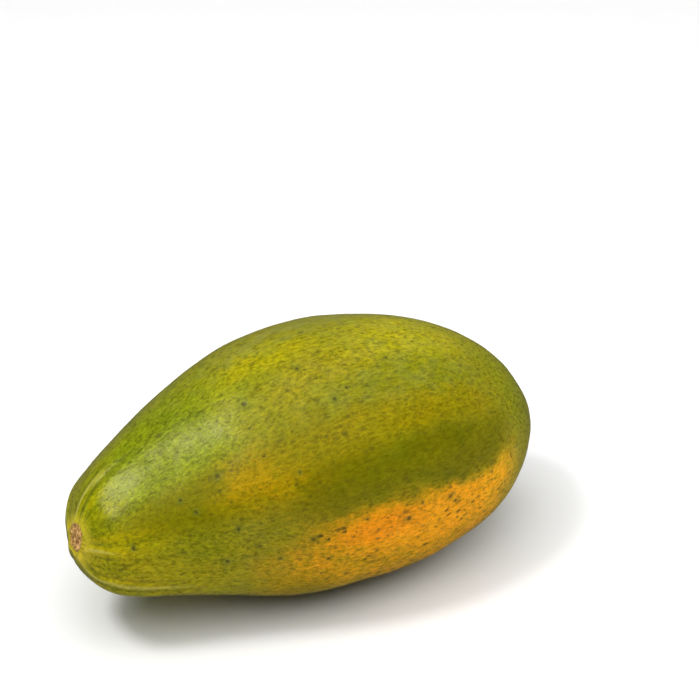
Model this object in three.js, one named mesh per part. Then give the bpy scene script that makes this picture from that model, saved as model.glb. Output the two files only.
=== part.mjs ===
// Whole ripening papaya, picked and lying on its side. Millimetres, +Z up.
// The stem end points towards -X, the blossom end towards +X, and z = 0 is what it lies on.

import * as THREE from 'three';
import { mergeVertices } from 'three/addons/utils/BufferGeometryUtils.js';

// Body
const fruitLength = 220;
const heightToWidth = 0.97;
// Half-width at an angle from the stem pole: a sum of sines of 1, 2, 3 ... times that angle
const outlineWaves = [56.9, -2.3, -1.2, 1.6, 1.1, 1.1];

// Long axis, as its greatest offsets from a straight line
const archRise = 10.1;
const sidewaysBow = 0.3;
const neckSway = 3.8;

// Five soft lobes that run from end to end, deepest behind the stem
const lobeCount = 5;
const lobeHeight = 0.7;
const lobeExtraAtStem = 1.4;
const lobeReach = 90;
const lobeTurn = 10;

// Low swellings that keep the skin from looking turned on a lathe
const swellings = [
  { height: 0.3, wavelength: 74, folds: 3, startAlong: 0.9, startAround: 90 },
  { height: 0.25, wavelength: 46, folds: 2, startAlong: 2.1, startAround: 35 },
  { height: 0.15, wavelength: 29, folds: 7, startAlong: 0.4, startAround: 10 },
];

// Corky scar where the stem broke off: a sunken disc inside a raised rim
const scarRadius = 5.8;
const scarDepth = 1.1;
const rimRadius = 7.6;
const rimHeight = 0.5;
const rimFoot = 10.4;
// The scar sits above the tip of the long axis: how far the cap round it is turned
const scarTurnUp = 9.5;
const scarTurnSideways = 2;
const turnedCap = 12;
const unturnedBody = 44;

// Blossom end: a small dimple with a puckered edge
const dimpleRadius = 2.4;
const dimpleDepth = 1.0;
const puckerRadius = 6;
const puckerHeight = 0.35;

// Flat spot that the fruit's weight has pressed on its underside
const restDepth = 1.2;

// Mesh fineness
const stationsAlong = 38;
const facetsAround = 70;
const scarRings = [0, 2.2, 4.2, scarRadius, 6.8, rimRadius, 8.8, rimFoot];
const blossomRings = [0, 1.2, dimpleRadius, 3.8, puckerRadius];

const degrees = THREE.MathUtils.degToRad;
const smoothstep = THREE.MathUtils.smoothstep;

// Outline of the body

function halfWidth(angle) {
  return outlineWaves.reduce((sum, wave, i) => sum + wave * Math.sin((i + 1) * angle), 0);
}

// How fast the half-width grows with the angle, at the stem pole (sign 1) or blossom pole (sign -1)
function growthAtPole(sign) {
  return outlineWaves.reduce((sum, wave, i) => sum + wave * (i + 1) * sign ** i, 0);
}

function distanceFromStem(angle) {
  return fruitLength * (1 - Math.cos(angle)) / 2;
}

// Rise of the skin at a distance from the middle of the stem scar
function scarRelief(radius) {
  const floor = -scarDepth * (1 - smoothstep(radius, scarRadius, rimRadius));
  const rim = rimHeight * smoothstep(radius, scarRadius, rimRadius);
  return floor + rim * (1 - smoothstep(radius, rimRadius, rimFoot));
}

// Rise of the skin at a distance from the middle of the blossom end
function blossomRelief(radius) {
  const floor = -dimpleDepth * (1 - smoothstep(radius, 0, dimpleRadius));
  const pucker = puckerHeight * smoothstep(radius, 0, dimpleRadius);
  return floor + pucker * (1 - smoothstep(radius, dimpleRadius, puckerRadius));
}

// Half of the lengthwise outline, from the stem pole to the blossom pole
function bodyProfile() {
  const stemAngles = scarRings.map((radius) => radius / growthAtPole(1));
  const blossomAngles = blossomRings.map((radius) => Math.PI - radius / growthAtPole(-1)).reverse();
  const first = stemAngles.at(-1);
  const last = blossomAngles[0];
  const step = (last - first) / stationsAlong;
  const between = Array.from({ length: stationsAlong - 1 }, (_, i) => first + (i + 1) * step);

  return [...stemAngles, ...between, ...blossomAngles].map((angle) => {
    const radius = Math.max(halfWidth(angle), 0);
    const onStemSide = angle < Math.PI / 2;
    const relief = onStemSide ? -scarRelief(radius) : blossomRelief(radius);
    return new THREE.Vector2(radius, distanceFromStem(angle) + relief);
  });
}

// Shaping of the turned body

// Height of the lobes and swellings at a place on the skin
function skinRise(along, around) {
  const fade = Math.sin(Math.PI * Math.min(Math.max(along / fruitLength, 0), 1));
  const lobe = lobeHeight + lobeExtraAtStem * Math.exp(-((along / lobeReach) ** 2));
  const lobes = lobe * Math.cos(lobeCount * (around - degrees(lobeTurn)));
  const swells = swellings.reduce((sum, { height, wavelength, folds, startAlong, startAround }) => {
    const wave = Math.sin(2 * Math.PI * along / wavelength + startAlong);
    return sum + height * wave * Math.cos(folds * (around - degrees(startAround)));
  }, 0);
  return Math.sqrt(fade) * (lobes + swells);
}

// Sideways and upward offsets of the long axis
function axisOffset(along) {
  const t = 2 * along / fruitLength - 1;
  const swayShape = 1.5 * Math.sqrt(3) * (t ** 3 - t);
  const y = sidewaysBow * (1 - t * t) + neckSway * swayShape;
  const z = archRise * (1 - t * t);
  return { y, z };
}

// Turns the cap round the stem scar about the middle of its curve, and fades out over the body
function turnCap(point) {
  const capRadius = 2 * growthAtPole(1) ** 2 / fruitLength;
  const centre = new THREE.Vector3(capRadius, 0, 0);
  const share = 1 - smoothstep(point.length(), turnedCap, unturnedBody);
  const turn = new THREE.Euler(0, degrees(scarTurnUp) * share, degrees(scarTurnSideways) * share);
  point.sub(centre).applyEuler(turn).add(centre);
}

function shapeBody(geometry) {
  const position = geometry.attributes.position;
  for (let i = 0; i < position.count; i += 1) {
    const point = new THREE.Vector3().fromBufferAttribute(position, i);
    const along = point.x;
    const around = Math.atan2(point.z, point.y);
    const radius = Math.hypot(point.y, point.z);
    const swollen = radius < 1e-6 ? 1 : (radius + skinRise(along, around)) / radius;
    point.set(point.x, point.y * swollen, point.z * swollen);
    turnCap(point);
    const offset = axisOffset(along);
    position.setXYZ(i, point.x, point.y + offset.y, point.z * heightToWidth + offset.z);
  }
}

// Lowers the body onto z = 0 and flattens what would go below it
function pressRestSpot(geometry) {
  geometry.computeBoundingBox();
  const middle = geometry.boundingBox.getCenter(new THREE.Vector3());
  geometry.translate(-middle.x, -middle.y, -geometry.boundingBox.min.z - restDepth);
  const position = geometry.attributes.position;
  for (let i = 0; i < position.count; i += 1) {
    position.setZ(i, Math.max(position.getZ(i), 0));
  }
}

// Drops the triangles that a turned profile leaves without area at its two poles
function dropFlatTriangles(geometry) {
  const corners = geometry.index.array;
  const kept = [];
  for (let i = 0; i < corners.length; i += 3) {
    const [a, b, c] = corners.slice(i, i + 3);
    if (a !== b && b !== c && c !== a) kept.push(a, b, c);
  }
  geometry.setIndex(kept);
}

function fruitGeometry() {
  const turned = new THREE.LatheGeometry(bodyProfile(), facetsAround);
  turned.rotateZ(-Math.PI / 2);
  turned.deleteAttribute('normal');
  turned.deleteAttribute('uv');
  const geometry = mergeVertices(turned, 1e-4);
  dropFlatTriangles(geometry);
  shapeBody(geometry);
  pressRestSpot(geometry);
  geometry.computeVertexNormals();
  return geometry;
}

// Waxy skin, green turning to yellow and orange
function skinMaterial() {
  return new THREE.MeshStandardMaterial({ color: 0x8f8a0f, roughness: 0.42, metalness: 0 });
}

function makeFruit() {
  const fruit = new THREE.Mesh(fruitGeometry(), skinMaterial());
  fruit.name = 'fruit';
  return fruit;
}

const papaya = new THREE.Group();
papaya.name = 'papaya';
papaya.add(makeFruit());

export default papaya;
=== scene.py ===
# Whole ripening papaya, lying on a pale studio floor
import math

import bmesh
import bpy
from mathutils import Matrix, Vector, noise
from mathutils.bvhtree import BVHTree


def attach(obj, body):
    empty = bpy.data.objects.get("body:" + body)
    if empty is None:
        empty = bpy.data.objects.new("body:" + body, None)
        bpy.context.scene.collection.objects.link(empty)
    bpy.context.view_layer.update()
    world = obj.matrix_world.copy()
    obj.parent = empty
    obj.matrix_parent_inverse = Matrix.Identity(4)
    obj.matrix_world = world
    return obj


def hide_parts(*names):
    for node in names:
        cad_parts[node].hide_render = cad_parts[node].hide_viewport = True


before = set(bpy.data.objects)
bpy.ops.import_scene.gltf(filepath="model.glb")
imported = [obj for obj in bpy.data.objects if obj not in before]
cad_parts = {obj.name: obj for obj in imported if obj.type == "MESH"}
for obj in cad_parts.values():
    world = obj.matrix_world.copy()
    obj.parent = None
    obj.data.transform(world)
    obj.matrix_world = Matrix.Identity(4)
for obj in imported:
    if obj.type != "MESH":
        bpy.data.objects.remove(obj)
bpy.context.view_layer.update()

scene = bpy.context.scene
mm = 0.001
print("packed papaya loaded")

# Camera and light

cameraView = {
    "lookAt": (0.1087, 0.1445, 0.0),   # a point on the floor behind the fruit
    "elevation": 31.0,                 # degrees above the floor
    "turn": 31.1,                      # degrees that the view is turned towards the stem end
    "distance": 1.0345,
    "fieldOfView": 20.0,
}


def placeCamera(view):
    data = bpy.data.cameras.new("photoView")
    data.angle = math.radians(view["fieldOfView"])
    camera = bpy.data.objects.new("photoView", data)
    scene.collection.objects.link(camera)
    camera.rotation_euler = (math.radians(90 - view["elevation"]), 0, -math.radians(view["turn"]))
    backwards = camera.rotation_euler.to_matrix() @ Vector((0, 0, 1))
    camera.location = Vector(view["lookAt"]) + backwards * view["distance"]
    scene.camera = camera


def fromView(right, away, up):   # a direction as the photograph sees it
    turn = -math.radians(cameraView["turn"])
    x = right * math.cos(turn) - away * math.sin(turn)
    y = right * math.sin(turn) + away * math.cos(turn)
    return Vector((x, y, up)).normalized()


studio = {
    "skyStrength": 0.10,
    "floor": {"halfWidth": 6.0, "color": (0.87, 0.87, 0.87), "roughness": 0.9, "gloss": 0.1},
    "softboxes": [   # towards: as the photograph sees it, from the place that the softbox is aimed at
        {"name": "keySoftbox", "towards": (-0.42, -0.22, 0.90), "aim": (0, 0, 0.05), "distance": 1.6,
         "size": 0.36, "watts": 10.0, "lights": "matt"},
        {"name": "topSoftbox", "towards": (0.0, -0.22, 0.97), "aim": (0, 0, 0.05), "distance": 2.0,
         "size": 3.4, "watts": 66.0, "lights": "matt"},
        {"name": "fillSoftbox", "towards": (0.93, 0.15, 0.62), "aim": (0, 0, 0.05), "distance": 1.8,
         "size": 1.0, "watts": 6.0, "lights": "matt"},
        {"name": "glossSoftbox", "towards": (-0.521, -0.192, 0.832), "aim": (-0.091, -0.008, 0.076),
         "distance": 1.6, "size": 0.26, "watts": 27.5, "lights": "gloss"},
    ],
}


def lightStudio(setup):
    world = bpy.data.worlds.new("whiteStudio")
    world.use_nodes = True
    background = world.node_tree.nodes["Background"]
    background.inputs["Color"].default_value = (1, 1, 1, 1)
    background.inputs["Strength"].default_value = setup["skyStrength"]
    scene.world = world
    for box in setup["softboxes"]:
        data = bpy.data.lights.new(box["name"], "AREA")
        data.shape = "DISK"
        data.size = box["size"]
        data.energy = box["watts"]
        light = bpy.data.objects.new(box["name"], data)
        towards = fromView(*box["towards"])
        light.location = Vector(box["aim"]) + towards * box["distance"]
        light.rotation_euler = towards.to_track_quat("Z", "Y").to_euler()
        light.visible_glossy = box["lights"] == "gloss"
        light.visible_diffuse = box["lights"] == "matt"
        scene.collection.objects.link(light)


def layFloor(setup):
    bm = bmesh.new()
    bmesh.ops.create_grid(bm, x_segments=1, y_segments=1, size=setup["halfWidth"])
    mesh = bpy.data.meshes.new("studioFloor")
    bm.to_mesh(mesh)
    bm.free()
    floor = bpy.data.objects.new("studioFloor", mesh)
    scene.collection.objects.link(floor)
    paint = bpy.data.materials.new("paleFloor")
    paint.use_nodes = True
    shader = paint.node_tree.nodes["Principled BSDF"]
    shader.inputs["Base Color"].default_value = (*setup["color"], 1)
    shader.inputs["Roughness"].default_value = setup["roughness"]
    shader.inputs["Specular IOR Level"].default_value = setup["gloss"]
    mesh.materials.append(paint)
    floor.visible_glossy = False   # keeps the skin's colours deep down to the floor


scene.view_settings.view_transform = "Standard"
placeCamera(cameraView)
lightStudio(studio)
layFloor(studio["floor"])
print("camera and studio ready")

# Body of the fruit. A place on its skin is given as (millimetres along from the middle, degrees around):
# 0 is the back, 90 the top, 180 the side that faces the camera, 270 the underside.

fruitShape = {
    "smoothLevels": 2,
    "lumps": [   # uneven growth of the skin, millimetres
        {"across": 30, "height": 0.35},
        {"across": 12, "height": 0.16},
        {"across": 5, "height": 0.06},
    ],
    "lumpsFade": {"atEnds": 12, "aboveFloor": 8, "shift": 7.3},   # the shift keeps the sizes' patterns apart
    "pinches": [          # low dents from its growth, or bumps where the depth is below 0
        {"at": (-88, 124), "across": 13, "depth": -0.44},
        {"at": (-81, 108), "across": 18, "depth": -0.49},
        {"at": (-96, 111), "across": 9, "depth": 0.26},
        {"at": (-91, 145), "across": 26, "depth": 0.8},
        {"at": (-76, 99), "across": 7, "depth": 0.2},
        {"at": (-59, 140), "across": 26, "depth": 0.8},
        {"at": (-53, 136), "across": 24, "depth": 0.8},
        {"at": (-48, 90), "across": 26, "depth": 0.8},
        {"at": (38, 101), "across": 7, "depth": 0.25},
        {"at": (62, 92), "across": 4, "depth": 0.25},
        {"at": (-6, 84), "across": 6, "depth": 0.25},
        {"at": (5, 238), "across": 8, "depth": 0.25},
        {"at": (-35, 20), "across": 7, "depth": 0.3},
        {"at": (48, 340), "across": 8, "depth": 0.3},
    ],
    # Thin folds that run out of the stem scar, as (millimetres from its middle, bearing about it)
    "stemFolds": [
        {"path": [(6, 60), (8, 66), (13, 70), (21, 76), (29, 78), (44, 81), (58, 86)],
         "width": 1.5, "height": 0.55, "length": 52},
        {"path": [(5, 196), (10, 173), (16, 171), (27, 173), (40, 172)],
         "width": 1.6, "height": 0.4, "length": 34},
        {"path": [(6, 240), (10, 235), (14, 231), (18, 222), (23, 216), (33, 217), (50, 215), (90, 214)],
         "width": 1.8, "height": 0.5, "length": 80},
        {"path": [(6, 318), (12, 312), (20, 306), (34, 304), (50, 300)],
         "width": 1.6, "height": 0.45, "length": 44},
        {"path": [(6, 8), (12, 14), (20, 20), (34, 18), (50, 12)],
         "width": 1.5, "height": 0.5, "length": 46},
    ],
    # A fold's grooves lie on both sides of it, and it fades out over the last part of its length
    "foldForm": {"grooveOffset": 1.7, "grooveShare": 0.45, "startsOver": (4, 8), "fadesFrom": 0.35},
    "cork": {"radius": 6.2, "edge": (0.85, 1.25), "lump": 1.5, "height": 0.5, "fineLump": 0.45, "fineShare": 0.6,
             "strands": 11, "strandRing": 3.9, "strandHeight": 0.35},
    "blossomCreases": {"count": 5, "starts": (0.8, 2.5), "fades": (3, 9), "sharpness": 3, "depth": 0.5},
}


def mergedCopy(nodeName):
    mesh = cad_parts[nodeName].data.copy()
    bm = bmesh.new()
    bm.from_mesh(mesh)
    bmesh.ops.remove_doubles(bm, verts=bm.verts, dist=1e-6)
    bmesh.ops.join_triangles(
        bm, faces=bm.faces, angle_face_threshold=math.pi, angle_shape_threshold=math.pi)
    bm.to_mesh(mesh)
    bm.free()
    mesh.materials.clear()
    return mesh


def endPoles(mesh):   # the two ends are where most edges meet
    bm = bmesh.new()
    bm.from_mesh(mesh)
    ends = sorted(bm.verts, key=lambda vert: len(vert.link_edges))[-2:]
    stem, blossom = sorted((vert.co.copy() for vert in ends), key=lambda place: place.x)
    bm.free()
    return stem, blossom


def smoothedFruit(mesh, levels):
    fruit = bpy.data.objects.new("wholeFruit", mesh)
    scene.collection.objects.link(fruit)
    smooth = fruit.modifiers.new("smoothSkin", "SUBSURF")
    smooth.levels = levels
    smooth.render_levels = levels
    evaluated = fruit.evaluated_get(bpy.context.evaluated_depsgraph_get())
    fine = bpy.data.meshes.new_from_object(evaluated)
    fruit.modifiers.clear()
    fruit.data = fine
    return fruit


baseMesh = mergedCopy("fruit")
stemPole, blossomPole = endPoles(baseMesh)
middleWidth = 8 * mm   # the slice whose middle the long axis passes through
middleRing = [vert.co for vert in baseMesh.vertices if abs(vert.co.x) < middleWidth / 2]
bodyMiddle = sum(middleRing, Vector()) / len(middleRing)
fruit = smoothedFruit(baseMesh, fruitShape["smoothLevels"])


def axisPoint(x):   # the long axis arches from the stem end over the middle to the blossom end
    share = (x - stemPole.x) / (blossomPole.x - stemPole.x)
    straight = stemPole.lerp(blossomPole, share)
    arch = bodyMiddle - (stemPole + blossomPole) / 2
    y = straight.y + 4 * share * (1 - share) * arch.y
    z = straight.z + 4 * share * (1 - share) * arch.z
    return Vector((x, y, z))


def aroundAngle(point):
    middle = axisPoint(point.x)
    return math.degrees(math.atan2(point.z - middle.z, point.y - middle.y)) % 360


def turnBetween(a, b):   # signed difference of two angles, in degrees
    return (a - b + 180) % 360 - 180


def smoothstep(value, low, high):
    share = min(max((value - low) / (high - low), 0), 1)
    return share * share * (3 - 2 * share)


def skinTree(fruit):
    corners = [vert.co for vert in fruit.data.vertices]
    return BVHTree.FromPolygons(corners, [face.vertices for face in fruit.data.polygons])


def skinPoint(tree, along, around):   # looks in at the skin from well outside it
    angle = math.radians(around)
    outwards = Vector((0, math.cos(angle), math.sin(angle)))
    start = axisPoint(along * mm) + outwards * 200 * mm
    return tree.ray_cast(start, -outwards)[0]


def angleAt(path, reach):   # follows a path of (millimetres, degrees)
    for (nearReach, nearAngle), (farReach, farAngle) in zip(path, path[1:]):
        if reach <= farReach:
            share = min(max((reach - nearReach) / (farReach - nearReach), 0), 1)
            return nearAngle + turnBetween(farAngle, nearAngle) * share
    return path[-1][1]


def foldProfile(form, fold, point):   # 1 on the fold's crest, below 0 in the groove beside it
    offset = point - stemPole
    reach = offset.length / mm
    if reach > fold["length"]:
        return 0
    bearing = math.degrees(math.atan2(offset.z, offset.y))
    sideways = math.radians(turnBetween(bearing, angleAt(fold["path"], reach)))
    distance = sideways * math.hypot(offset.y, offset.z) / mm / fold["width"]
    crest = math.exp(-distance * distance)
    groove = sum(math.exp(-(distance + offset) ** 2) for offset in (-form["grooveOffset"], form["grooveOffset"]))
    start = smoothstep(reach, *form["startsOver"])
    fade = 1 - smoothstep(reach, fold["length"] * form["fadesFrom"], fold["length"])
    return (crest - form["grooveShare"] * groove) * start * fade


def lumpHeight(lumps, fade, point):
    height = sum(
        lump["height"] * noise.noise(point / (lump["across"] * mm) + Vector((index * fade["shift"], 0, 0)))
        for index, lump in enumerate(lumps)
    )
    fromEnd = min((point - stemPole).length, (point - blossomPole).length) / mm
    return height * smoothstep(fromEnd, 0, fade["atEnds"]) * smoothstep(point.z / mm, 0, fade["aboveFloor"])


def corkHeight(setup, point):   # rough cork with a ring of dried strands in it
    offset = point - stemPole
    reach = offset.length / mm
    inner, outer = (setup["radius"] * share for share in setup["edge"])
    if reach > outer:
        return 0
    place = point / (setup["lump"] * mm)
    rough = noise.noise(place) + setup["fineShare"] * noise.noise(place / setup["fineLump"])
    bearing = math.atan2(offset.z, offset.y)
    strand = max(math.cos(setup["strands"] * bearing), 0) * math.exp(-(reach - setup["strandRing"]) ** 2)
    inside = 1 - smoothstep(reach, inner, outer)
    return (setup["height"] * rough + setup["strandHeight"] * strand) * inside


def creaseHeight(setup, point):   # shallow creases that meet at the blossom end
    offset = point - blossomPole
    reach = offset.length / mm
    bearing = math.atan2(offset.z, offset.y)
    ring = smoothstep(reach, *setup["starts"]) * (1 - smoothstep(reach, *setup["fades"]))
    return -setup["depth"] * ring * (0.5 + 0.5 * math.cos(setup["count"] * bearing)) ** setup["sharpness"]


def sculptSkin(fruit, setup):
    mesh = fruit.data
    smooth = skinTree(fruit)
    pinches = [(skinPoint(smooth, *pinch["at"]), pinch) for pinch in setup["pinches"]]
    heights = []
    folds = []
    for vert in mesh.vertices:
        shares = [foldProfile(setup["foldForm"], fold, vert.co) for fold in setup["stemFolds"]]
        height = sum(share * fold["height"] for share, fold in zip(shares, setup["stemFolds"]))
        height += lumpHeight(setup["lumps"], setup["lumpsFade"], vert.co)
        height += corkHeight(setup["cork"], vert.co)
        height += creaseHeight(setup["blossomCreases"], vert.co)
        for place, pinch in pinches:
            near = (vert.co - place).length / mm / (pinch["across"] / 2)
            height -= pinch["depth"] * math.exp(-near * near)
        heights.append(height)
        folds.append(sum(shares))
    outwards = [vert.normal.copy() for vert in mesh.vertices]
    for vert, height, normal in zip(mesh.vertices, heights, outwards):
        vert.co += normal * height * mm
        vert.co.z = max(vert.co.z, 0)   # stays on the floor
    mesh.attributes.new("stemFold", "FLOAT", "POINT").data.foreach_set("value", folds)
    mesh.shade_smooth()


sculptSkin(fruit, fruitShape)
print("fruit body shaped,", len(fruit.data.polygons), "faces")

# Ripening: how yellow, how dark (the skin's own tone, and painted light and shade), how much wax bloom and
# painted sheen, and how freckled the skin is at each place

ripening = {
    "start": {"ripe": 0.44, "shade": 0.95, "bloomAndSheen": 0.10, "freckled": 0.45},
    # How far the patches' edges wander, over what width, in millimetres. The fixed seed repeats it in each run.
    "drift": {"reach": 4.5, "across": 14, "finer": 3.1, "fineShare": 0.4, "seed": 1},
    "grainRadius": 110,   # millimetres of length that count as much as one radian around, for the grain
    "columns": ("at", "span", "ripe", "shade", "bloomAndSheen", "freckled", "soft", "path"),   # a path bends a patch
    "patches": [
        # the side that the camera sees
        ((-74, 98), (36, 38), 0.17, 1.16, 0.0, 0.15, 0.6),
        ((-106, 110), (12, 60), 0.33, 1.05, 0.0, 0.1, 0.6),
        ((-90, 195), (32, 45), 0.48, 1.2, 0.0, 0.3, 0.5),
        ((-70, 178), (14, 20), 0.41, 1.02, 0.0, 0.4, 0.8),
        ((-66, 150), (30, 17), 0.44, 0.69, 0.0, 0.5, 0.6),
        ((-18, 152), (26, 24), 0.54, 0.66, 0.0, 0.5, 0.6),
        ((-43, 147), (15, 15), 0.60, 0.86, 0.0, 0.4, 0.7),
        ((-22, 91), (20, 13), 0.46, 1.22, 0.0, 0.35, 0.8),
        ((-38, 104), (17, 8), 0.30, 1.05, 0.0, 0.4, 0.8),
        ((-6, 110), (26, 12), 0.47, 0.98, 0.1, 0.6, 0.8),
        ((20, 76), (60, 10), 0.42, 0.9, 0.3, 0.3, 0.8),
        ((48, 99), (30, 17), 0.46, 1.34, 0.15, 0.6, 0.7),
        ((26, 125), (36, 9), 0.37, 0.90, 0.14, 0.6, 0.8),
        ((22, 140), (48, 8), 0.51, 0.85, 0.0, 0.4, 0.7),
        ((16, 203), (60, 34), 0.74, 1.10, 0.0, 1.1, 0.35),
        ((36, 157), (50, 10), 0.39, 0.60, 0.0, 0.35, 0.6),
        ((32, 184), (37, 17), 0.88, 1.30, 0.0, 0.9, 0.6),
        # painted light: the right end lightened
        ((70, 178), (20, 20), 0.80, 1.50, 0.0, 0.6, 0.8),
        ((0, 182), (18, 9), 1.0, 1.05, 0.0, 0.4, 0.8),
        ((38, 163), (52, 8), 0.42, 0.68, 0.0, 0.35, 0.75,
         [(-8, 163), (0, 164), (30, 165), (48, 165), (60, 160), (70, 155), (80, 149), (90, 142)]),
        # these two: painted light on the right end, the first also painted sheen along its rim
        ((90, 182), (17, 34), 0.54, 1.34, 0.25, 0.3, 0.9),
        ((90, 130), (15, 50), 0.37, 1.10, 0.0, 0.2, 0.7),
        # painted shade along the underside, next to the floor
        ((20, 238), (75, 16), 0.53, 0.70, 0.0, 0.7, 0.6),
        ((-27, 221), (14, 12), 0.58, 0.8, 0.0, 0.9, 0.7),
        # the back and the underside
        ((30, 25), (50, 30), 0.60, 1.0, 0.0, 0.6, 0.6),
        ((44, 18), (28, 15), 0.88, 1.05, 0.0, 0.8, 0.6),
        ((-50, 30), (40, 24), 0.34, 0.9, 0.2, 0.3, 0.8),
        ((10, 325), (64, 20), 0.42, 0.75, 0.1, 0.5, 0.7),
        ((-20, 278), (70, 22), 0.54, 0.9, 0.1, 0.4, 0.7),
        ((35, 262), (30, 20), 0.68, 0.95, 0.0, 0.6, 0.7),
        ((-95, 320), (30, 55), 0.27, 0.95, 0.05, 0.2, 0.6),
        ((104, 240), (12, 90), 0.48, 0.95, 0.1, 0.2, 0.7),
    ],
}


def patchShare(patch, along, around):
    middle = angleAt(patch["path"], along) if "path" in patch else patch["at"][1]
    far = (along - patch["at"][0]) / patch["span"][0]
    wide = turnBetween(around, middle) / patch["span"][1]
    return 1 - smoothstep(math.hypot(far, wide), 1 - patch["soft"], 1 + patch["soft"])


def paintRipening(fruit, setup):
    mesh = fruit.data
    drift = setup["drift"]
    noise.seed_set(drift["seed"])
    patches = [dict(zip(setup["columns"], row)) for row in setup["patches"]]
    painted = {key: [] for key in setup["start"]}
    grain = []
    for vert in mesh.vertices:
        place = vert.co / (drift["across"] * mm)
        wander = noise.noise_vector(place) + drift["fineShare"] * noise.noise_vector(place * drift["finer"])
        along = vert.co.x / mm + wander.x * drift["reach"]
        around = aroundAngle(vert.co)
        wandered = around + wander.y * drift["reach"]
        values = dict(setup["start"])
        for patch in patches:
            share = patchShare(patch, along, wandered)
            for key in values:
                values[key] += (patch[key] - values[key]) * share
        for key, value in values.items():
            painted[key].append(value)
        angle = math.radians(around)
        grain.extend((math.cos(angle), math.sin(angle), vert.co.x / (setup["grainRadius"] * mm)))
    for key, values in painted.items():
        mesh.attributes.new(key, "FLOAT", "POINT").data.foreach_set("value", values)
    mesh.attributes.new("grainPlace", "FLOAT_VECTOR", "POINT").data.foreach_set("vector", grain)


paintRipening(fruit, ripening)
print("ripening painted")

# Skin material

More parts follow.
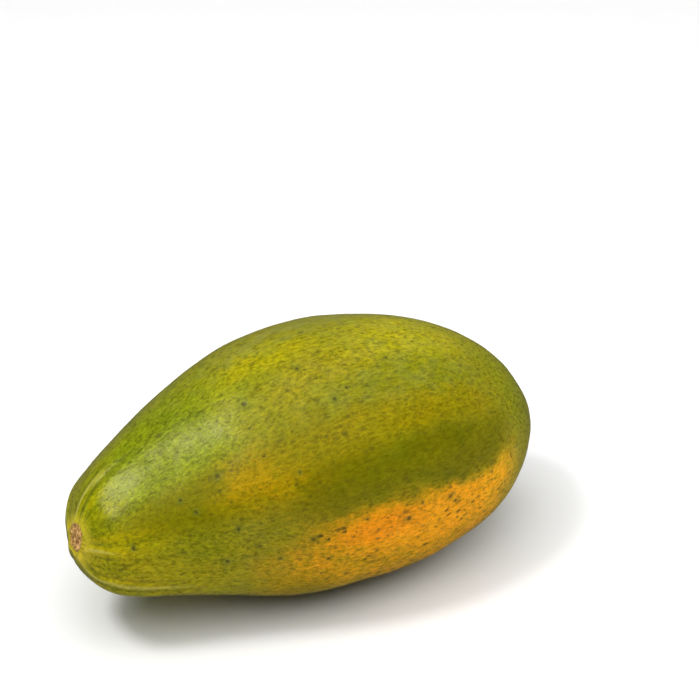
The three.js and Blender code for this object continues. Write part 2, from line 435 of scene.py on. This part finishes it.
skinLook = {
    # ripeness, colour: deep green, green, olive, gold, amber, orange
    "ripeColors": [
        (0.00, (0.085, 0.115, 0.002)),
        (0.20, (0.140, 0.172, 0.002)),
        (0.38, (0.205, 0.205, 0.0012)),
        (0.55, (0.280, 0.220, 0.0012)),
        (0.70, (0.430, 0.240, 0.0012)),
        (0.85, (0.610, 0.262, 0.0012)),
        (1.00, (0.760, 0.262, 0.0012)),
    ],
    # Sizes and reaches are in millimetres. A range is what a noise, mask or distance is read from and to.
    "mottles": [(30, 0.06), (11, 0.065), (3.6, 0.055), (1.2, 0.08)],   # size, how far the ripeness wanders
    "calm": {"ripeRange": (0.5, 0.8), "left": 0.55},   # share of the fine mottling left where it is orange
    "ragged": {"across": 2.6, "detail": 3.0, "roughness": 0.6, "amount": 0.25,   # edges of the orange areas
               "rise": (0.60, 0.70), "fall": (0.92, 0.76)},
    "streaks": {"scale": (30, 30, 22), "detail": 5.0, "roughness": 0.65, "range": (0.25, 0.75),
                "ripe": 0.035, "shade": 0.12},
    "stemStripes": {"scale": (5, 5, 2.5), "detail": 2.0, "roughness": 0.5, "range": (0.35, 0.65),
                    "ripe": 0.06, "shade": 0.22, "reach": (55, 10)},
    "brushStretch": (0.42, 1, 1),   # below 1 draws a pattern out along the fruit
    "shadeMottle": {"across": 1.3, "detail": 5.0, "roughness": 0.8, "range": (0.25, 0.75), "amount": 0.85,
                    "shadeRange": (0.6, 1.05), "inDark": 0.45},
    "blotches": {"across": 4.5, "distortion": 0.6, "range": (0.3, 0.7),   # strongest where the skin is green
                 "ripeRange": (0.2, 0.42), "amounts": (0.16, 0.048)},
    # grey-green wax bloom, with painted sheen in it
    "bloomAndSheen": {"color": (0.30, 0.33, 0.13), "share": 0.8, "across": 6, "detail": 3.0, "range": (0.35, 0.65),
             "least": 0.3},
    "wobble": {"scale": 1100.0, "reach": 1.5},   # how uneven the outlines of freckles and spots are
    "freckleColor": (0.050, 0.045, 0.004),
    "freckleStretch": (0.6, 1, 1),
    "freckleClusters": {"across": 8, "range": (0.38, 0.63), "amounts": (0.15, 1.8)},
    "freckleStrength": {"ripeRange": (0.35, 0.8), "onGreen": 0.55},
    "freckleLayers": [
        {"spacing": 1.15, "radius": 0.44, "share": 1.6, "edge": 0.5, "depth": 0.6},
        {"spacing": 2.4, "radius": 0.36, "share": 1.0, "edge": 0.5, "depth": 0.9},
        {"spacing": 6.0, "radius": 0.22, "share": 0.7, "edge": 0.4, "depth": 0.9},
    ],
    # larger spots: place, radius in millimetres
    "spots": [
        ((-57, 137), 1.6), ((-27, 183), 1.5), ((-73, 143), 1.1), ((-69, 154), 1.0), ((-55, 171), 1.2),
        ((-59, 195), 1.4), ((-94, 171), 1.2), ((-39, 194), 1.2), ((-5, 124), 1.3), ((-29, 149), 0.9),
        ((-37, 107), 1.6), ((35, 178), 1.5), ((38, 181), 1.2), ((14, 182), 1.5), ((20, 176), 0.9),
        ((-5, 177), 0.9), ((48, 186), 1.0), ((-20, 196), 1.2), ((2, 121), 1.0), ((26, 112), 1.2),
        ((-12, 104), 1.2), ((62, 92), 1.1), ((40, 330), 1.6), ((-20, 15), 1.5), ((-60, 340), 1.3),
        ((10, 40), 1.4), ((62, 28), 1.2), ((-45, 262), 1.4), ((20, 250), 1.2), ((70, 300), 1.3),
    ],
    # reach: in radii of the spot
    "spotPaint": {"color": (0.045, 0.035, 0.008), "share": 0.75, "reach": (1.0, 0.35)},
    "haloPaint": {"color": (0.12, 0.15, 0.015), "share": 0.4, "reach": (2.4, 0.6)},
    "foldCrest": {"color": (0.50, 0.44, 0.10), "range": (0.35, 1.0), "share": 0.5},
    # painted shade in the grooves beside the folds
    "paintedGrooveShade": {"color": (0.070, 0.085, 0.006), "range": (-0.08, -0.40), "share": 0.42},
    "scarRim": {"color": (0.52, 0.41, 0.025), "reach": (13, 7.5), "share": 0.65},
    "cork": {"middle": stemPole + Vector((0, 1.8, 0.5)) * mm,
             "stretch": (0.6, 1.3, 0.95),   # the scar is a little narrower than it is tall
             "reach": (6.5, 5.5), "light": (0.86, 0.50, 0.17), "dark": (0.32, 0.13, 0.030),
             "across": 1.6, "detail": 4.0, "roughness": 0.7, "range": (0.30, 0.58)},
    "blossomRing": {"reach": (9, 3.5), "share": 0.35},   # in the colour of the scar's rim
    "blossom": {"color": (0.10, 0.060, 0.020), "reach": (3.4, 1.4)},
    "gloss": {"roughness": (0.24, 0.33), "range": (0.3, 0.7), "bloomAndSheen": 0.4, "dry": 0.3, "freckles": 0.15,
              "specularTint": (1.0, 0.92, 0.45), "specularLevel": 0.16},
    # leathery grain, soft swellings, and what the other patterns add to or take from the height
    "relief": {"height": 0.12, "grain": {"across": 1.7, "detail": 3.0, "roughness": 0.6, "share": 0.5},
               "swelling": {"across": 5.0, "share": 0.8}, "streaks": 0.12, "mottle": 0.6,
               "freckles": -0.25, "spots": -0.5, "cork": 9.0},
}


def addNode(tree, kind, sockets=None, **settings):
    node = tree.nodes.new(kind)
    for name, value in settings.items():
        setattr(node, name, value)
    for socket, value in (sockets or {}).items():
        if isinstance(value, bpy.types.NodeSocket):
            tree.links.new(value, node.inputs[socket])
        else:
            node.inputs[socket].default_value = value
    return node


def calculate(tree, operation, a, b=0.0, clamp=False):
    return addNode(tree, "ShaderNodeMath", {0: a, 1: b}, operation=operation, use_clamp=clamp).outputs[0]


def rescale(tree, value, low, high, newLow=0.0, newHigh=1.0, interpolation="SMOOTHSTEP"):
    sockets = {"Value": value, "From Min": low, "From Max": high, "To Min": newLow, "To Max": newHigh}
    return addNode(tree, "ShaderNodeMapRange", sockets, interpolation_type=interpolation).outputs["Result"]


def mixColor(tree, share, a, b, blend="MIX"):
    a, b = ((*color, 1) if isinstance(color, tuple) else color for color in (a, b))
    return addNode(tree, "ShaderNodeMix", {0: share, 6: a, 7: b}, data_type="RGBA", blend_type=blend).outputs[2]


def noiseValue(tree, place, size, detail=2.0, roughness=0.5, distortion=0.0):
    sockets = {"Vector": place, "Scale": 1 / (size * mm), "Detail": detail, "Roughness": roughness,
               "Distortion": distortion}
    return addNode(tree, "ShaderNodeTexNoise", sockets).outputs["Fac"]


def plus(tree, total, value, amount):   # total + value x amount
    return calculate(tree, "ADD", total, calculate(tree, "MULTIPLY", value, amount))


def centred(tree, value, low, high, amount):   # from -amount at low to amount at high
    return rescale(tree, value, low, high, -amount, amount, "LINEAR")


def nearness(tree, distance, outer, inner):   # 0 past the outer reach, 1 within the inner one
    return rescale(tree, distance, outer * mm, inner * mm)


def tint(tree, color, mask, share, paint):
    return mixColor(tree, calculate(tree, "MULTIPLY", mask, share), color, paint)


def vectorMath(tree, operation, a, b, output="Vector"):
    return addNode(tree, "ShaderNodeVectorMath", {0: a, 1: b}, operation=operation).outputs[output]


def stretched(tree, place, scale):
    return addNode(tree, "ShaderNodeMapping", {"Vector": place, "Scale": scale}).outputs["Vector"]


def paintedValue(tree, name, output="Fac"):
    return addNode(tree, "ShaderNodeAttribute", attribute_name=name).outputs[output]


def makeFreckleGroup(leastSpread=0.4, leastStrength=0.35):   # spots of uneven size, one to a cell
    group = bpy.data.node_groups.new("freckleLayer", "ShaderNodeTree")
    interface = group.interface
    interface.new_socket("Place", in_out="INPUT", socket_type="NodeSocketVector")
    for name in ("Cells", "Radius", "Share", "Edge"):
        interface.new_socket(name, in_out="INPUT", socket_type="NodeSocketFloat")
    interface.new_socket("Spot", in_out="OUTPUT", socket_type="NodeSocketFloat")
    inside = group.nodes.new("NodeGroupInput").outputs
    cells = addNode(group, "ShaderNodeTexVoronoi", {"Vector": inside["Place"], "Scale": inside["Cells"]})
    random = addNode(group, "ShaderNodeSeparateColor", {0: cells.outputs["Color"]}).outputs
    spread = calculate(group, "ADD", random[1], leastSpread)
    radius = calculate(group, "MULTIPLY", inside["Radius"], spread)
    distance = calculate(group, "DIVIDE", cells.outputs["Distance"], radius)
    spot = rescale(group, distance, 1.0, inside["Edge"])
    present = calculate(group, "LESS_THAN", random[0], inside["Share"])
    strength = rescale(group, random[2], 0, 1, leastStrength, 1.0, "LINEAR")
    strength = calculate(group, "MULTIPLY", present, strength)
    result = calculate(group, "MULTIPLY", spot, strength)
    addNode(group, "NodeGroupOutput", {"Spot": result})
    return group


def lengthwiseNoise(tree, look):   # strokes that run along the fruit, -1 to 1
    place = stretched(tree, paintedValue(tree, "grainPlace", "Vector"), look["scale"])
    sockets = {"Vector": place, "Scale": 1.0, "Detail": look["detail"], "Roughness": look["roughness"]}
    strokes = addNode(tree, "ShaderNodeTexNoise", sockets).outputs["Fac"]
    return centred(tree, strokes, *look["range"], 1)


def wobbledPlace(tree, place, look):
    sockets = {"Vector": place, "Scale": look["scale"], "Detail": 1.0}
    wobble = addNode(tree, "ShaderNodeTexNoise", sockets).outputs["Color"]
    wobble = vectorMath(tree, "SUBTRACT", wobble, (0.5, 0.5, 0.5))
    wobble = vectorMath(tree, "MULTIPLY", wobble, (look["reach"] * mm,) * 3)
    return vectorMath(tree, "ADD", place, wobble)


def skinRipeness(tree, place, brushed, calm, streaks, stripes, look):
    ripe = paintedValue(tree, "ripe")
    for size, amount in look["mottles"]:
        mottle = centred(tree, noiseValue(tree, place, size), 0, 1, amount)
        ripe = plus(tree, ripe, mottle, calm)
    ragged = look["ragged"]
    patchy = noiseValue(tree, brushed, ragged["across"], ragged["detail"], ragged["roughness"])
    patchy = centred(tree, patchy, 0, 1, ragged["amount"])
    edge = calculate(tree, "MULTIPLY", rescale(tree, ripe, *ragged["rise"]), rescale(tree, ripe, *ragged["fall"]))
    ripe = plus(tree, ripe, patchy, edge)
    ripe = plus(tree, ripe, streaks, look["streaks"]["ripe"])
    return plus(tree, ripe, stripes, look["stemStripes"]["ripe"])


def rampColor(tree, value, colors):
    ramp = tree.nodes.new("ShaderNodeValToRGB")
    stops = ramp.color_ramp.elements
    while len(stops) < len(colors):
        stops.new(0.5)
    for stop, (position, color) in zip(stops, colors):
        stop.position = position
        stop.color = (*color, 1)
    tree.links.new(value, ramp.inputs["Fac"])
    return ramp.outputs["Color"]


def skinShade(tree, place, mottle, ripe, calm, streaks, stripes, look):   # lighter and darker mottling, times the painted shade value (the skin's own tone, and painted light and shade)
    dark = paintedValue(tree, "shade")
    fine = look["shadeMottle"]
    shade = centred(tree, mottle, *fine["range"], fine["amount"])
    lively = calculate(tree, "MULTIPLY", calm, rescale(tree, dark, *fine["shadeRange"], fine["inDark"], 1.0))
    shade = calculate(tree, "ADD", calculate(tree, "MULTIPLY", shade, lively), 1.0)
    large = look["blotches"]
    blotches = noiseValue(tree, place, large["across"], distortion=large["distortion"])
    blotches = centred(tree, blotches, *large["range"], 1)
    shade = plus(tree, shade, blotches, rescale(tree, ripe, *large["ripeRange"], *large["amounts"]))
    shade = plus(tree, shade, streaks, look["streaks"]["shade"])
    shade = plus(tree, shade, stripes, look["stemStripes"]["shade"])
    shade = calculate(tree, "MULTIPLY", shade, dark)
    return addNode(tree, "ShaderNodeCombineColor", {0: shade, 1: shade, 2: shade}).outputs[0]


# wax bloom with painted sheen: the painted amount, mottled
def waxBloomAndSheen(tree, place, look):
    mottle = noiseValue(tree, place, look["across"], look["detail"])
    return calculate(tree, "MULTIPLY", paintedValue(tree, "bloomAndSheen"),
                     rescale(tree, mottle, *look["range"], look["least"], 1.0))


def skinFreckles(tree, place, wobbled, look):
    clusters = look["freckleClusters"]
    crowd = noiseValue(tree, place, clusters["across"])
    crowd = rescale(tree, crowd, *clusters["range"], *clusters["amounts"], "LINEAR")
    freckled = calculate(tree, "MULTIPLY", paintedValue(tree, "freckled"), crowd)
    specklePlace = stretched(tree, wobbled, look["freckleStretch"])
    group = makeFreckleGroup()
    freckles = 0.0
    for layer in look["freckleLayers"]:
        sockets = {
            "Place": specklePlace,
            "Cells": 1 / (layer["spacing"] * mm),
            "Radius": layer["radius"],
            "Share": calculate(tree, "MULTIPLY", freckled, layer["share"]),
            "Edge": layer["edge"],
        }
        spot = addNode(tree, "ShaderNodeGroup", sockets, node_tree=group).outputs["Spot"]
        freckles = calculate(tree, "MAXIMUM", freckles, calculate(tree, "MULTIPLY", spot, layer["depth"]))
    return freckles


def skinSpots(tree, fruit, wobbled, look):   # the larger spots, and the green halos round them
    skin = skinTree(fruit)
    spots = halos = 0.0
    for (along, around), radius in look["spots"]:
        distance = vectorMath(tree, "DISTANCE", wobbled, skinPoint(skin, along, around), "Value")
        spot, halo = (
            nearness(tree, distance, *(radius * reach for reach in look[paint]["reach"]))
            for paint in ("spotPaint", "haloPaint")
        )
        spots = calculate(tree, "MAXIMUM", spots, spot)
        halos = calculate(tree, "MAXIMUM", halos, halo)
    return spots, halos


def makeSkin(fruit, look):
    material = bpy.data.materials.new("papayaSkin")
    material.use_nodes = True
    tree = material.node_tree
    shader = tree.nodes["Principled BSDF"]

    # patterns
    place = addNode(tree, "ShaderNodeTexCoord").outputs["Object"]
    brushed = stretched(tree, place, look["brushStretch"])
    wobbled = wobbledPlace(tree, place, look["wobble"])
    fromScar = vectorMath(tree, "DISTANCE", place, stemPole, "Value")
    fromBlossom = vectorMath(tree, "DISTANCE", wobbled, blossomPole, "Value")
    streaks = lengthwiseNoise(tree, look["streaks"])
    nearStem = nearness(tree, fromScar, *look["stemStripes"]["reach"])
    stripes = calculate(tree, "MULTIPLY", lengthwiseNoise(tree, look["stemStripes"]), nearStem)
    fine = look["shadeMottle"]
    mottle = noiseValue(tree, brushed, fine["across"], fine["detail"], fine["roughness"])
    calm = rescale(tree, paintedValue(tree, "ripe"), *look["calm"]["ripeRange"], 1.0, look["calm"]["left"])

    # ripeness, mottling times the painted shade value, then wax bloom with painted sheen
    ripe = skinRipeness(tree, place, brushed, calm, streaks, stripes, look)
    color = rampColor(tree, ripe, look["ripeColors"])
    shade = skinShade(tree, place, mottle, ripe, calm, streaks, stripes, look)
    color = mixColor(tree, 1.0, color, shade, "MULTIPLY")
    bloomAndSheen = waxBloomAndSheen(tree, place, look["bloomAndSheen"])
    color = tint(tree, color, bloomAndSheen, look["bloomAndSheen"]["share"], look["bloomAndSheen"]["color"])

    # freckles and larger spots
    freckles = skinFreckles(tree, place, wobbled, look)
    strength = look["freckleStrength"]
    strength = rescale(tree, ripe, *strength["ripeRange"], strength["onGreen"], 1.0)
    color = tint(tree, color, freckles, strength, look["freckleColor"])
    spots, halos = skinSpots(tree, fruit, wobbled, look)
    color = tint(tree, color, halos, look["haloPaint"]["share"], look["haloPaint"]["color"])
    color = tint(tree, color, spots, look["spotPaint"]["share"], look["spotPaint"]["color"])

    # pale crests of the folds at the stem, painted shade in the grooves beside them
    fold = paintedValue(tree, "stemFold")
    for part in (look["foldCrest"], look["paintedGrooveShade"]):
        color = mixColor(tree, rescale(tree, fold, *part["range"], 0.0, part["share"]), color, part["color"])

    # corky scar and its rim
    rim = look["scarRim"]
    color = tint(tree, color, nearness(tree, fromScar, *rim["reach"]), rim["share"], rim["color"])
    cork = look["cork"]
    corkMottle = noiseValue(tree, place, cork["across"], cork["detail"], cork["roughness"])
    corkMottle = rescale(tree, corkMottle, *cork["range"])
    scarPlace = vectorMath(tree, "SUBTRACT", wobbled, cork["middle"])
    scarPlace = vectorMath(tree, "MULTIPLY", scarPlace, cork["stretch"])
    fromCork = addNode(tree, "ShaderNodeVectorMath", {0: scarPlace}, operation="LENGTH").outputs["Value"]
    corky = nearness(tree, fromCork, *cork["reach"])
    color = mixColor(tree, corky, color, mixColor(tree, corkMottle, cork["dark"], cork["light"]))

    # dry blossom end
    ring = look["blossomRing"]
    color = tint(tree, color, nearness(tree, fromBlossom, *ring["reach"]), ring["share"], rim["color"])
    blossom = nearness(tree, fromBlossom, *look["blossom"]["reach"])
    color = mixColor(tree, blossom, color, look["blossom"]["color"])
    tree.links.new(color, shader.inputs["Base Color"])

    # gloss: waxy where smooth, duller on the wax bloom and painted sheen, on freckles and on cork
    gloss = look["gloss"]
    dry = calculate(tree, "MAXIMUM", corky, blossom)
    dry = calculate(tree, "MAXIMUM", dry, calculate(tree, "MULTIPLY", bloomAndSheen, gloss["bloomAndSheen"]))
    roughness = rescale(tree, mottle, *gloss["range"], *gloss["roughness"], "LINEAR")
    roughness = plus(tree, roughness, dry, gloss["dry"])
    rougher = calculate(tree, "MULTIPLY", freckles, gloss["freckles"])
    roughness = calculate(tree, "ADD", roughness, rougher, clamp=True)
    tree.links.new(roughness, shader.inputs["Roughness"])
    shader.inputs["Specular IOR Level"].default_value = gloss["specularLevel"]
    shader.inputs["Specular Tint"].default_value = (*gloss["specularTint"], 1)

    # relief
    relief = look["relief"]
    grain = relief["grain"]
    grainNoise = noiseValue(tree, place, grain["across"], grain["detail"], grain["roughness"])
    height = calculate(tree, "MULTIPLY", grainNoise, grain["share"])
    swelling = noiseValue(tree, place, relief["swelling"]["across"])
    height = plus(tree, height, swelling, relief["swelling"]["share"])
    for pattern, name in ((streaks, "streaks"), (mottle, "mottle"), (freckles, "freckles"), (spots, "spots")):
        height = plus(tree, height, pattern, relief[name])
    height = plus(tree, height, corkMottle, calculate(tree, "MULTIPLY", corky, relief["cork"]))
    sockets = {"Height": height, "Strength": 1.0, "Distance": relief["height"] * mm}
    bump = addNode(tree, "ShaderNodeBump", sockets)
    tree.links.new(bump.outputs["Normal"], shader.inputs["Normal"])
    return material


fruit.data.materials.clear()
fruit.data.materials.append(makeSkin(fruit, skinLook))
print("skin material ready")

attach(fruit, "root")
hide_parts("fruit")
